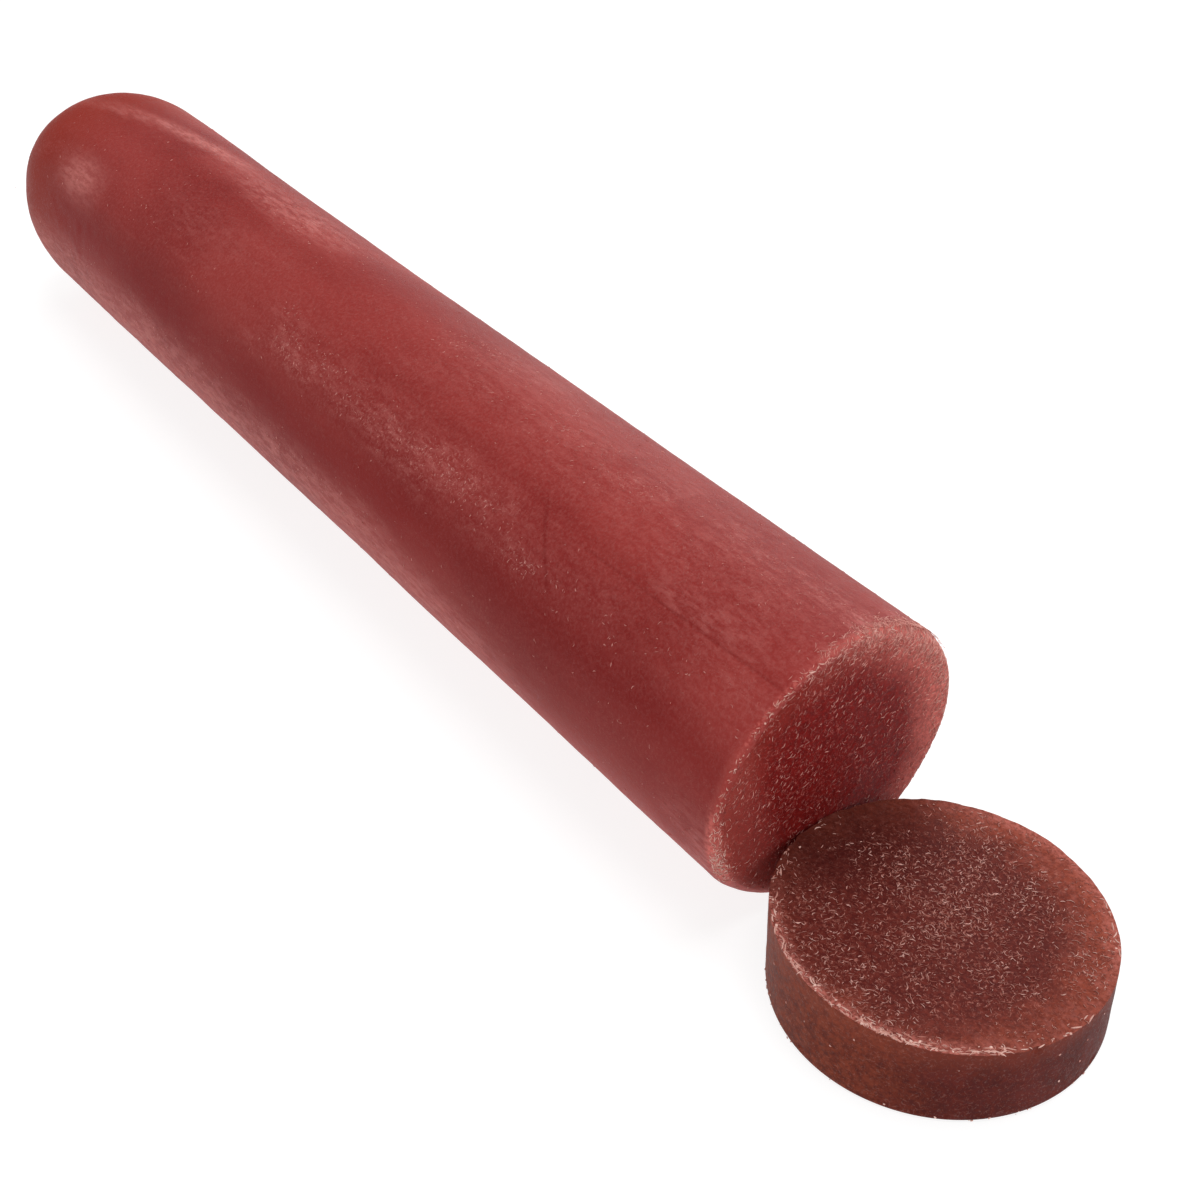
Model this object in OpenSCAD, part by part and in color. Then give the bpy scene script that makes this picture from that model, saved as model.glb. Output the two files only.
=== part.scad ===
// Hand-struck road flare in dipped wax, with its striker cap lying off.
// The stick lies along X with its igniter end towards +X.  The cap lies flat
// in front of that end.  The origin is the centre of the whole set's
// footprint, on the surface it lies on, and +Z is up.  Millimetres.

/* [Stick] */
// Outside diameter of the waxed stick
flare_d = 25.4; // [22:0.1:32]
// Length from the middle of the igniter face to the tip of the rounded end
flare_len = 148; // [120:1:300]
// Thickness of the wax skin
wax_skin = 0.9; // [0.6:0.1:1.2]
// Depth of the flat that the wax has settled to where the stick lies
rest_flat = 0.15; // [0.05:0.05:0.3]

/* [Igniter end] */
// Radius of the soft edge around the igniter face
rim_round = 2; // [1:0.1:2.5]
// Lean of the igniter face, its top edge towards +X, in degrees
face_pitch = 3.5; // [0:0.1:4]
// Swing of the igniter face, its -Y edge towards +X, in degrees
face_yaw = 2.6; // [0:0.1:4]
// Thickness of the igniter's wide face, ahead of the tube
igniter_face_t = 3; // [2.6:0.1:5]
// Depth of the igniter's boss inside the tube
igniter_boss_t = 3; // [1:0.5:6]
// Thickness of the first-fire layer behind the igniter
first_fire_t = 6; // [2:0.5:10]

/* [Casing] */
// Wall of the rolled kraft tube
tube_wall = 1.6; // [1:0.1:2.5]
// Depth of the base plug's spigot inside the tube
plug_spigot = 10; // [5:0.5:20]
// Thickness of the card wad between the plug and the charge
wad_t = 2; // [1:0.5:4]

/* [Striker cap] */
// Outside diameter of the cap
cap_d = 26.2; // [23:0.1:33]
// Height of the cap at its middle
cap_h = 7; // [6.8:0.1:9]
// Fall of the cap's top towards +X, in degrees
cap_fall = 1.7; // [0:0.1:2]
// Rise of the cap's top towards -Y, in degrees
cap_rise = 3.5; // [0:0.1:3.6]
// Radius of the soft edge around the cap's underside
cap_edge_round = 0.4; // [0.2:0.1:0.6]
// Thickness of the card disc in the cap's floor
cap_board_t = 1.1; // [0.8:0.1:1.2]
// Wall of the rolled ring inside the cap
cap_ring_wall = 1.6; // [1:0.1:2]
// Height of the striker pad's underside
pad_z = 4.4; // [4:0.1:4.6]
// Gap between the cap and the igniter face where they are closest
cap_gap = 0.3; // [0.25:0.05:1]

/* [Hidden] */
$fn = 96;

charge_count = 5;
flare_r = flare_d / 2;
core_r = flare_r - wax_skin;
bore_r = core_r - tube_wall;
cap_r = cap_d / 2;
pad_r = cap_r - wax_skin;
backing_r = pad_r - cap_ring_wall;
axis_z = flare_r - rest_flat;

// Distances behind the middle of the igniter face
tube_front = igniter_face_t;
first_fire_front = igniter_face_t + igniter_boss_t;
charge_front = first_fire_front + first_fire_t;
dome_front = flare_len - flare_r;
plug_front = dome_front - plug_spigot;
wad_front = plug_front - wad_t;
charge_len = (wad_front - charge_front) / charge_count;

// The igniter face leans over the cap, so the cap's top edge sets the gap.
cap_back_z = cap_h + cap_r * tan(cap_fall);
face_x_at_cap = (cap_back_z - axis_z) * tan(face_pitch);
cap_x = face_x_at_cap + cap_gap + cap_r;

// The igniter face's middle, placed so that the whole set is centred in X
face_x = (flare_len - cap_x - cap_r) / 2;

// Room for cutting shapes, well clear of the solids they trim
clear = 40;
// How far the end tool's edge stands proud of the stick before it flares out
tool_proud = 0.15;

// Places the stick's parts: their +Z axis becomes +X, from the igniter face.
module on_stick_axis() {
    translate([face_x, 0, axis_z]) rotate([0, 90, 0]) children();
}

// A round bar on the stick's axis between two distances behind the face
module bar(radius, front, back) {
    on_stick_axis() translate([0, 0, -back]) cylinder(r = radius, h = back - front);
}

// A ball at the middle of the rounded end
module end_ball(radius) {
    on_stick_axis() translate([0, 0, -dome_front]) sphere(r = radius);
}

// The space behind the leaning igniter face, with the soft edge round it
module behind_face() {
    edge_r = flare_r + tool_proud;
    translate([face_x, 0, axis_z])
        rotate([0, face_pitch, face_yaw])
            rotate([0, 90, 0]) {
                rotate_extrude() intersection() {
                    union() {
                        translate([0, -rim_round]) square([edge_r - rim_round, rim_round]);
                        translate([edge_r - rim_round, -rim_round]) circle(r = rim_round);
                        translate([0, -2 * rim_round]) square([edge_r, rim_round]);
                    }
                    translate([0, -2 * rim_round]) square([clear, 2 * rim_round]);
                }
                translate([0, 0, -2 * flare_len]) cylinder(r = clear, h = 2 * flare_len - 2 * rim_round);
            }
}

// Everything above the surface the set lies on
module above_ground() {
    translate([-2 * flare_len, -clear, 0]) cube([4 * flare_len, 2 * clear, 2 * clear]);
}

// Everything ahead of the middle of the rounded end
module dome_side() {
    translate([face_x - dome_front, -clear, -clear]) cube([2 * flare_len, 2 * clear, 3 * clear]);
}

module wax_coat() {
    color([0.59, 0.24, 0.22])
        difference() {
            intersection() {
                union() {
                    bar(flare_r, -rim_round, dome_front);
                    end_ball(flare_r);
                }
                behind_face();
                above_ground();
            }
            bar(core_r, -2 * rim_round, dome_front);
            end_ball(core_r);
        }
}

module casing_tube() {
    color([0.66, 0.47, 0.30])
        difference() {
            bar(core_r, tube_front, dome_front);
            bar(bore_r, tube_front - 1, dome_front + 1);
        }
}

module base_plug() {
    color([0.78, 0.62, 0.42])
        union() {
            difference() {
                end_ball(core_r);
                dome_side();
            }
            bar(bore_r, plug_front, dome_front);
        }
}

module base_wad() {
    color([0.62, 0.55, 0.44]) bar(bore_r, wad_front, plug_front);
}

module charge(place) {
    front = charge_front + (place - 1) * charge_len;
    color([0.60, 0.40, 0.38]) bar(bore_r, front, front + charge_len);
}

module charge_1() { charge(1); }

module charge_2() { charge(2); }

module charge_3() { charge(3); }

module charge_4() { charge(4); }

module charge_5() { charge(5); }

module first_fire() {
    color([0.36, 0.30, 0.28]) bar(bore_r, first_fire_front, charge_front);
}

module igniter() {
    color([0.44, 0.13, 0.14])
        union() {
            intersection() {
                bar(core_r, -rim_round, tube_front);
                behind_face();
            }
            bar(bore_r, tube_front, first_fire_front);
        }
}

// Places the cap's parts at the middle of its underside.
module at_cap() {
    translate([face_x + cap_x, 0, 0]) children();
}

// The space under the cap's sloping top
module under_cap_top() {
    translate([0, 0, cap_h])
        rotate([-cap_rise, cap_fall, 0])
            translate([-clear, -clear, -clear])
                cube([2 * clear, 2 * clear, clear]);
}

module cap_coat() {
    color([0.42, 0.19, 0.16])
        at_cap() difference() {
            intersection() {
                union() {
                    translate([0, 0, cap_edge_round]) cylinder(r = cap_r, h = 2 * cap_h);
                    rotate_extrude() {
                        square([cap_r - cap_edge_round, cap_edge_round]);
                        translate([cap_r - cap_edge_round, cap_edge_round]) intersection() {
                            circle(r = cap_edge_round);
                            translate([0, -cap_edge_round]) square([cap_edge_round, cap_edge_round]);
                        }
                    }
                }
                under_cap_top();
            }
            translate([0, 0, wax_skin]) cylinder(r = pad_r, h = 2 * cap_h);
        }
}

module cap_board() {
    color([0.62, 0.55, 0.44])
        at_cap() translate([0, 0, wax_skin]) cylinder(r = pad_r, h = cap_board_t);
}

module cap_ring() {
    base = wax_skin + cap_board_t;
    color([0.66, 0.47, 0.30])
        at_cap() difference() {
            translate([0, 0, base]) cylinder(r = pad_r, h = pad_z - base);
            translate([0, 0, base - 1]) cylinder(r = backing_r, h = pad_z - base + 2);
        }
}

module striker_backing() {
    base = wax_skin + cap_board_t;
    color([0.78, 0.62, 0.42])
        at_cap() translate([0, 0, base]) cylinder(r = backing_r, h = pad_z - base);
}

module striker_pad() {
    color([0.35, 0.15, 0.14])
        at_cap() intersection() {
            translate([0, 0, pad_z]) cylinder(r = pad_r, h = 2 * cap_h);
            under_cap_top();
        }
}

wax_coat();
casing_tube();
base_plug();
base_wad();
charge_1();
charge_2();
charge_3();
charge_4();
charge_5();
first_fire();
igniter();
cap_coat();
cap_board();
cap_ring();
striker_backing();
striker_pad();
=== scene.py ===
import math

import bmesh
import bpy
import numpy as np
from mathutils import Matrix, Vector


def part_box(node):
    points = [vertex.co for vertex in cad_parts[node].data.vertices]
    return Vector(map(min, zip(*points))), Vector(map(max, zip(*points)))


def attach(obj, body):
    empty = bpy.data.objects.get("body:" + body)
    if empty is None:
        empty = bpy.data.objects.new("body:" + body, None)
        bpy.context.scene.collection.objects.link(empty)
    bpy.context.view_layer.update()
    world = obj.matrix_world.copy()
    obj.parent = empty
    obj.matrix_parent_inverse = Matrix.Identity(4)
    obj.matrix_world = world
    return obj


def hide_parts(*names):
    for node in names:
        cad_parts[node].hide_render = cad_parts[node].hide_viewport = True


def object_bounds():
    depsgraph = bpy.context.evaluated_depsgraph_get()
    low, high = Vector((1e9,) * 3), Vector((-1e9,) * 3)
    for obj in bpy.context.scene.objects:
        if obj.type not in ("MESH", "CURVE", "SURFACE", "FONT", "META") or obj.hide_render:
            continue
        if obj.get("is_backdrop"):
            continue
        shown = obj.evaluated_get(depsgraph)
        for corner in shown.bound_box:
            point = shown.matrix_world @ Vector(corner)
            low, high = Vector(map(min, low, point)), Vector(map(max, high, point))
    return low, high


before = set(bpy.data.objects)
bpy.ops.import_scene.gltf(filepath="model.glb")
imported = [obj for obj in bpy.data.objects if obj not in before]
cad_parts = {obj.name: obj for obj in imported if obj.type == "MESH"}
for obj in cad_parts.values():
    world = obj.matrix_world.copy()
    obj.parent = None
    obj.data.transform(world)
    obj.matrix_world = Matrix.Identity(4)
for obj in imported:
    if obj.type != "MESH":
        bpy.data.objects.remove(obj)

# The looks of a wax-dipped road flare and its loose striker cap, lying on a
# pale floor.  Everything is in metres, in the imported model's own frame: the
# stick lies along X with its igniter end towards +X, and the cap lies in front.

CAD_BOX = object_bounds()
MM = 0.001

# ---- measures
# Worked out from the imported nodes.
COAT_LOW, COAT_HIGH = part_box("wax_coat")
CORE_LOW, CORE_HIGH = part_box("casing_tube")
WAD_LOW, WAD_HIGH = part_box("base_wad")
CAP_LOW, CAP_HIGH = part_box("cap_coat")
PAD_LOW, PAD_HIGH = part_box("striker_pad")

STICK_R = (COAT_HIGH.y - COAT_LOW.y) / 2
CORE_R = (CORE_HIGH.y - CORE_LOW.y) / 2
BORE_R = (WAD_HIGH.y - WAD_LOW.y) / 2
AXIS_Z = COAT_HIGH.z - STICK_R
TUBE_FRONT_X = CORE_HIGH.x
IGNITER_FACE_T = 3 * MM
FACE_X = TUBE_FRONT_X + IGNITER_FACE_T
STICK_LEN = FACE_X - COAT_LOW.x
BOSS_BACK_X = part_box("igniter")[0].x
PLUG_TIP_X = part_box("base_plug")[0].x

# How much the igniter face leans: forward with height, forward towards -Y.  The
# lean dies out over LEAN_DEPTH behind it.
FACE_PITCH = math.tan(math.radians(3.5))
FACE_YAW = math.tan(math.radians(2.6))
LEAN_DEPTH = 22 * MM

CAP_R = (CAP_HIGH.y - CAP_LOW.y) / 2
CAP_X = (CAP_HIGH.x + CAP_LOW.x) / 2
PAD_R = (PAD_HIGH.y - PAD_LOW.y) / 2
PAD_Z = PAD_LOW.z
CAP_FLOOR_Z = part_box("cap_board")[0].z
# How the cap's top slopes: down towards +X, up towards -Y
CAP_FALL = math.tan(math.radians(1.7))
CAP_RISE = math.tan(math.radians(3.5))
CAP_TOP_Z = CAP_HIGH.z - CAP_R * math.hypot(CAP_FALL, CAP_RISE)
CAP_TOP_NORMAL = (CAP_FALL, CAP_RISE, 1)


# ---- points and noise
def xyz(x, y, z):
    """Points or directions from their three parts, each a number or an array."""
    return np.stack(np.broadcast_arrays(x, y, z), axis=-1)


def lattice_value(cell, seed):
    """A repeatable value from -1 to 1 for each whole-number cell."""
    h = cell[..., 0] * 374761393 + cell[..., 1] * 668265263 + cell[..., 2] * 974634777
    h = (h + seed * 1442695041) & 0xFFFFFFFF
    h = ((h ^ (h >> 13)) * 1274126177) & 0xFFFFFFFF
    h = h ^ (h >> 16)
    return (h & 0xFFFF) / 32767.5 - 1


def smooth_noise(points, size, seed):
    """Smooth noise from -1 to 1 with features of the given size, in metres."""
    place = np.asarray(points, float) / size
    low = np.floor(place).astype(np.int64)
    t = place - low
    t = t * t * t * (t * (t * 6 - 15) + 10)
    total = 0
    for corner in np.ndindex(2, 2, 2):
        weight = np.ones(t.shape[:-1])
        for axis in range(3):
            weight = weight * (t[..., axis] if corner[axis] else 1 - t[..., axis])
        total = total + weight * lattice_value(low + np.array(corner), seed)
    return total


def layered_noise(points, size, seed, layers=3):
    """Several layers of smooth noise, each half the size and half as strong."""
    total, strength, weight = 0, 1, 0
    for layer in range(layers):
        total = total + strength * smooth_noise(points, size / 2 ** layer, seed + layer)
        weight += strength
        strength /= 2
    return total / weight


def bell(value, middle, width):
    """1 at the middle, falling smoothly to nearly 0 at one width away."""
    return np.exp(-((value - middle) / width) ** 2 * 2)


def step_up(value, low, high):
    """0 below low, 1 above high, smooth between."""
    t = np.clip((value - low) / (high - low), 0, 1)
    return t * t * (3 - 2 * t)


# ---- mesh building
def lathe(name, rings, first_centre, last_centre):
    """A closed mesh from rings of points, each end closed to a centre point."""
    rings = np.asarray(rings, float)
    count, around = rings.shape[:2]
    points = np.vstack([rings.reshape(-1, 3), [first_centre], [last_centre]])
    index = np.arange(count * around).reshape(count, around)
    ahead = np.roll(index, -1, axis=1)
    quads = np.stack([index[:-1], ahead[:-1], ahead[1:], index[1:]], axis=-1).reshape(-1, 4)
    first, last = count * around, count * around + 1
    faces = quads.tolist()
    faces += [[first, b, a] for a, b in zip(index[0], ahead[0])]
    faces += [[last, a, b] for a, b in zip(index[-1], ahead[-1])]
    return mesh_object(name, points, faces)


def mesh_object(name, points, faces):
    mesh = bpy.data.meshes.new(name)
    mesh.from_pydata([tuple(p) for p in points], [], [tuple(int(i) for i in f) for f in faces])
    mesh.validate()
    mesh.update()
    for polygon in mesh.polygons:
        polygon.use_smooth = True
    mesh.set_sharp_from_angle(angle=math.radians(55))
    piece = bpy.data.objects.new(name, mesh)
    bpy.context.scene.collection.objects.link(piece)
    outward(piece)
    return piece


def outward(piece):
    """Turns every face outwards."""
    bm = bmesh.new()
    bm.from_mesh(piece.data)
    bmesh.ops.recalc_face_normals(bm, faces=bm.faces)
    bm.to_mesh(piece.data)
    bm.free()


def dress(piece, body, slot, material, *nodes):
    """Gives a piece its material and body, and hides the CAD nodes it stands for."""
    piece.data.materials.clear()
    piece.data.materials.append(material)
    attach(piece, body)
    if nodes:
        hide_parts(*nodes)


# ---- stick shape
AROUND = 232
DOME_DEPTH = 0.955 * STICK_R
DOME_POWER = 2.35
CREASE_ANGLE = math.radians(125.2)
CREASE_TURN = math.radians(4.8)
CREASE_LEN = 30 * MM
# Rings lie this far apart along the side, and closer together near the igniter face.
RING_STEP = 0.45 * MM
FINE_RING_STEP = 0.2 * MM
FINE_RINGS_FROM = 4 * MM


def stick_angles():
    """Angles round the stick from +Y towards +Z, closer together by the crease."""
    t = np.linspace(0, 2 * math.pi, 4000)
    crowd = 1 + 2.2 * bell(t, CREASE_ANGLE - CREASE_TURN / 2, math.radians(9))
    run = np.concatenate([[0], np.cumsum((crowd[1:] + crowd[:-1]) / 2)])
    return np.interp(np.arange(AROUND) / AROUND * run[-1], run, t)


# The edge round the igniter face is crisp but for these: middle angle and spread in
# degrees, and added radius in millimetres
RIM_SOFT = [(50, 50, 0.9), (322, 50, 0.9), (225, 45, 1.5)]


def rim_radius(angle):
    """Radius of the edge round the igniter face."""
    radius = 0.4 * MM
    for middle, spread, added in RIM_SOFT:
        off = np.angle(np.exp(1j * (angle - math.radians(middle))))
        radius = radius + added * MM * bell(off, 0, math.radians(spread))
    return radius


def lean(y, up):
    """How far the leaning igniter face is ahead of its middle."""
    return FACE_PITCH * up - FACE_YAW * y


def skin_relief(p):
    """Height of the wax skin over a true cylinder: dents, ripples and fine orange peel."""
    stretched = p * (0.35, 1, 1)
    relief = 0.16 * MM * layered_noise(stretched, 11 * MM, 3, 2)
    relief += 0.035 * MM * layered_noise(p * (0.6, 1, 1), 2.6 * MM, 11, 2)
    relief += 0.010 * MM * smooth_noise(p, 0.8 * MM, 17)
    # The skin runs into small sags low on the near side, close to the rounded end,
    # and is thinner there.
    behind = FACE_X - p[..., 0]
    low_side = step_up(-p[..., 1], 0.75 * STICK_R, STICK_R)
    sag = bell(behind, 0.84 * STICK_LEN, 9 * MM) * low_side
    relief += 0.10 * MM * sag * smooth_noise(p, 1.5 * MM, 23)
    relief -= 0.38 * MM * low_side * bell(behind, 0.90 * STICK_LEN, 26 * MM)
    relief -= 0.12 * MM * low_side * bell(behind, 12 * MM, 30 * MM)
    # It is a little fuller along its far upper side, near the rounded end.
    relief += 0.45 * MM * bell(behind, 0.88 * STICK_LEN, 34 * MM) * step_up(p[..., 1], 0, STICK_R)
    return relief


def crease_relief(p, angle):
    """A fine groove along the top, from the igniter end."""
    behind = FACE_X - p[..., 0]
    middle = CREASE_ANGLE - CREASE_TURN * (1 - behind / CREASE_LEN)
    middle = middle + math.radians(0.5) * smooth_noise(p * (1, 0, 0), 4 * MM, 29)
    depth = 0.035 * MM * step_up(-behind, -CREASE_LEN, -0.6 * CREASE_LEN)
    return -depth * bell(angle, middle, math.radians(0.9))


def face_relief(p):
    """Height of the broken, granular end: coarse lumps and fine grain."""
    relief = 0.035 * MM * layered_noise(p, 2.4 * MM, 41, 2)
    relief += 0.04 * MM * layered_noise(p, 0.55 * MM, 47, 2)
    return relief


def round_axis(x, radius, angle):
    """Points round the stick's axis, at angles from +Y towards +Z."""
    return xyz(x, radius * np.cos(angle), AXIS_Z + radius * np.sin(angle))


def on_stick(behind, radius, angle, tilt):
    """Points on the stick: tilt is 0 on the side and 1 on the igniter face."""
    p = round_axis(FACE_X - behind, radius, angle)
    out = np.sqrt(np.clip(1 - tilt ** 2, 0, 1)) * (skin_relief(p) + crease_relief(p, angle))
    leaning = np.clip(1 - behind / LEAN_DEPTH, 0, 1) ** 2
    ahead = tilt * face_relief(p) + leaning * lean(p[..., 1], p[..., 2] - AXIS_Z)
    p = p + xyz(ahead, out * np.cos(angle), out * np.sin(angle))
    p[..., 2] = np.maximum(p[..., 2], COAT_LOW.z)
    return p


def end_depth(radius, angle):
    """How far behind the face's plane the soft edge is at a radius, and its tilt."""
    edge = rim_radius(angle)
    across = np.clip((radius - STICK_R + edge) / edge, 0, 1)
    tilt = np.sqrt(1 - across ** 2)
    return edge * (1 - tilt), tilt


def coat_outer_rings():
    """Rings from the tip of the rounded end to where the skin meets the igniter."""
    angle = stick_angles()
    edge = rim_radius(angle)
    rings = []
    dome_start = STICK_LEN - DOME_DEPTH
    # On the rounded end, turn runs from the tip to where the side begins.
    for turn in np.linspace(0, math.pi / 2, 46)[1:]:
        along = math.cos(turn) ** (2 / DOME_POWER)
        out = math.sin(turn) ** (2 / DOME_POWER)
        rings.append(on_dome(dome_start + DOME_DEPTH * along, STICK_R * out, angle, turn))
    side = np.concatenate([
        np.arange(dome_start - RING_STEP, FINE_RINGS_FROM, -RING_STEP),
        np.arange(FINE_RINGS_FROM, FINE_RING_STEP / 2, -FINE_RING_STEP),
        [0],
    ])
    for run in side:
        behind = run + edge * np.clip(1 - run / (2 * FINE_RINGS_FROM), 0, 1)
        rings.append(on_stick(behind, STICK_R, angle, 0))
    # Round the soft edge, then straight in across the face to the igniter.
    reach = np.arccos(np.clip((CORE_R - STICK_R + edge) / edge, 0, 1))
    straight = np.clip(STICK_R - edge - CORE_R, 0, None)
    for share in np.linspace(0, 1, 17)[1:]:
        run = share * (edge * reach + straight)
        turn = np.minimum(run / edge, reach)
        radius = STICK_R - edge + edge * np.cos(turn) - np.clip(run - edge * reach, 0, None)
        rings.append(on_stick(edge * (1 - np.sin(turn)), radius, angle, np.sin(turn)))
    return rings


def on_dome(behind, radius, angle, turn):
    """Points on the rounded end, pushed out along the surface's normal."""
    p = round_axis(FACE_X - behind, radius, angle)
    height = skin_relief(p)
    out = height * math.sin(turn)
    p = p + xyz(-height * math.cos(turn), out * np.cos(angle), out * np.sin(angle))
    p[..., 2] = np.maximum(p[..., 2], COAT_LOW.z)
    return p


def wax_coat():
    """The dipped skin: a closed shell round the tube, with a domed end."""
    angle = stick_angles()
    rings = coat_outer_rings()
    dome_x = PLUG_TIP_X + CORE_R
    for x in np.linspace(TUBE_FRONT_X, dome_x, 40):
        rings.append(round_axis(x, CORE_R, angle))
    for turn in np.linspace(0, math.pi / 2, 16)[1:-1]:
        rings.append(round_axis(dome_x - CORE_R * math.sin(turn), CORE_R * math.cos(turn), angle))
    return lathe("wax_coat_skin", rings, on_dome(STICK_LEN, 0, 0, 0), (PLUG_TIP_X, 0, AXIS_Z))


def igniter():
    """The granular igniter face on its boss."""
    angle = stick_angles()
    rings = []
    radii = np.concatenate([np.linspace(0.12 * MM, 9 * MM, 58), np.linspace(9.15 * MM, CORE_R, 20)])
    for radius in radii:
        depth, tilt = end_depth(radius, angle)
        rings.append(on_stick(depth, radius, angle, tilt))
    for radius, x in (
        (CORE_R, TUBE_FRONT_X + 1 * MM),
        (CORE_R, TUBE_FRONT_X),
        (BORE_R, TUBE_FRONT_X),
        (BORE_R, BOSS_BACK_X),
        (BORE_R / 2, BOSS_BACK_X),
    ):
        rings.append(round_axis(x, radius, angle))
    return lathe("igniter_face", rings, on_stick(0, 0, 0, 1), (BOSS_BACK_X, 0, AXIS_Z))


# ---- cap shape
CAP_ANGLES = np.arange(300) / 300 * 2 * math.pi
CAP_EDGE_ROUND = 0.4 * MM
# The middle of the cap's outline lies a little to the near side of the cap's box.
CAP_SHIFT = 0.34 * MM
CAP_SHIFT_TURN = math.radians(236)


def cap_outline(angle):
    """Radius of the cap at each angle: not quite a circle, and a little off centre."""
    oval = 0.10 * MM * np.cos(2 * angle + 0.9)
    return CAP_R - 0.06 * MM + oval + CAP_SHIFT * np.cos(angle - CAP_SHIFT_TURN)


def cap_top(x, y):
    """Height of the cap's sloping, granular top."""
    p = xyz(x + CAP_X, y, CAP_TOP_Z)
    rough = 0.035 * MM * layered_noise(p, 3.0 * MM, 61, 2)
    rough += 0.045 * MM * layered_noise(p, 0.55 * MM, 67, 2)
    return CAP_TOP_Z - CAP_FALL * x - CAP_RISE * y + rough


def round_cap(radius, z, angle):
    """Points round the cap's middle: z is a number or one value for each angle."""
    return xyz(CAP_X + radius * np.cos(angle), radius * np.sin(angle), z)


def on_cap_top(radius, angle):
    """Points on the cap's top."""
    return round_cap(radius, cap_top(radius * np.cos(angle), radius * np.sin(angle)), angle)


def cap_side_relief(p):
    """The cap's side is nearly smooth, with faint flats and a few nicks below."""
    relief = 0.07 * MM * layered_noise(p * (1, 1, 0.3), 5 * MM, 71, 2)
    relief += 0.02 * MM * layered_noise(p, 1.0 * MM, 73, 2)
    low = 1 - step_up(p[..., 2], 0.3 * MM, 1.6 * MM)
    nick = np.clip(smooth_noise(p * (1, 1, 0), 1.7 * MM, 79) - 0.45, 0, 1)
    relief -= 0.55 * MM * low * nick
    high = step_up(p[..., 2], CAP_TOP_Z - 1.0 * MM, CAP_TOP_Z - 0.1 * MM)
    chip = np.clip(smooth_noise(p * (1, 1, 0), 0.9 * MM, 83) - 0.25, 0, 1)
    relief -= 0.25 * MM * high * chip
    return relief


def cap_coat():
    """The cap's wax cup: underside, side and the narrow rim round the pad."""
    outline = cap_outline(CAP_ANGLES)
    rings = [round_cap(share * CAP_R, 0, CAP_ANGLES) for share in (0.3, 0.6, 0.9)]
    for turn in np.linspace(0, math.pi / 2, 6):
        radius = outline - CAP_EDGE_ROUND * (1 - math.sin(turn))
        rings.append(round_cap(radius, CAP_EDGE_ROUND * (1 - math.cos(turn)), CAP_ANGLES))
    edge_top = on_cap_top(outline, CAP_ANGLES)[:, 2]
    for share in np.linspace(0, 1, 34)[1:]:
        z = CAP_EDGE_ROUND + share * (edge_top - CAP_EDGE_ROUND)
        radius = outline + cap_side_relief(round_cap(outline, z, CAP_ANGLES))
        rings.append(round_cap(radius, z, CAP_ANGLES))
    # In across the rim, down the pad's side and in under the pad.
    for share in np.linspace(0, 1, 7)[1:]:
        rings.append(on_cap_top(radius + share * (PAD_R - radius), CAP_ANGLES))
    for z in np.linspace(PAD_Z, CAP_FLOOR_Z, 5):
        rings.append(round_cap(PAD_R, z, CAP_ANGLES))
    rings.append(round_cap(PAD_R / 2, CAP_FLOOR_Z, CAP_ANGLES))
    return lathe("cap_wax_cup", rings, (CAP_X, 0, 0), (CAP_X, 0, CAP_FLOOR_Z))


def striker_pad():
    """The granular pad that fills the cap's top."""
    rings = [on_cap_top(radius, CAP_ANGLES) for radius in np.linspace(0.12 * MM, PAD_R, 84)]
    rings.append(round_cap(PAD_R, PAD_Z, CAP_ANGLES))
    rings.append(round_cap(PAD_R / 2, PAD_Z, CAP_ANGLES))
    return lathe("striker_face", rings, on_cap_top(0, 0), (CAP_X, 0, PAD_Z))


# ---- flecks, crumbs
def frame_at(normal, heading):
    """Three axes at a point: along the fleck, across it and out of the surface."""
    normal = np.asarray(normal, float)
    normal = normal / np.linalg.norm(normal)
    side = np.array([0, 0, 1.0]) if abs(normal[2]) < 0.8 else np.array([1.0, 0, 0])
    first = np.cross(side, normal)
    first /= np.linalg.norm(first)
    second = np.cross(normal, first)
    along = math.cos(heading) * first + math.sin(heading) * second
    return along, np.cross(normal, along), normal


def curl(place, normal, heading, length, width, bend, lift):
    """A thin curled shaving: five diamond sections along an arc, pointed at both ends."""
    along, across, out = frame_at(normal, heading)
    points, faces = [], []
    sections = 5
    for k in range(sections):
        t = k / (sections - 1)
        turn = (t - 0.5) * bend
        if abs(bend) > 0.05:
            ahead = length / bend * math.sin(turn)
            aside = length / bend * (1 - math.cos(turn))
        else:
            ahead, aside = length * (t - 0.5), 0
        middle = place + ahead * along + aside * across
        middle = middle + out * (lift * math.sin(math.pi * (0.15 + 0.7 * t)))
        thick = width * (0.25 + 0.75 * math.sin(math.pi * t) ** 0.7)
        sideways = math.cos(turn) * across - math.sin(turn) * along
        for a, b in ((1, 0), (0, 0.45), (-1, 0), (0, -0.6)):
            points.append(middle + sideways * (a * thick / 2) + out * (b * thick))
    for k in range(sections - 1):
        for j in range(4):
            a, b = 4 * k + j, 4 * k + (j + 1) % 4
            faces.append((a, b, b + 4, a + 4))
    faces.append((3, 2, 1, 0))
    end = 4 * (sections - 1)
    faces.append((end, end + 1, end + 2, end + 3))
    return points, faces


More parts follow.
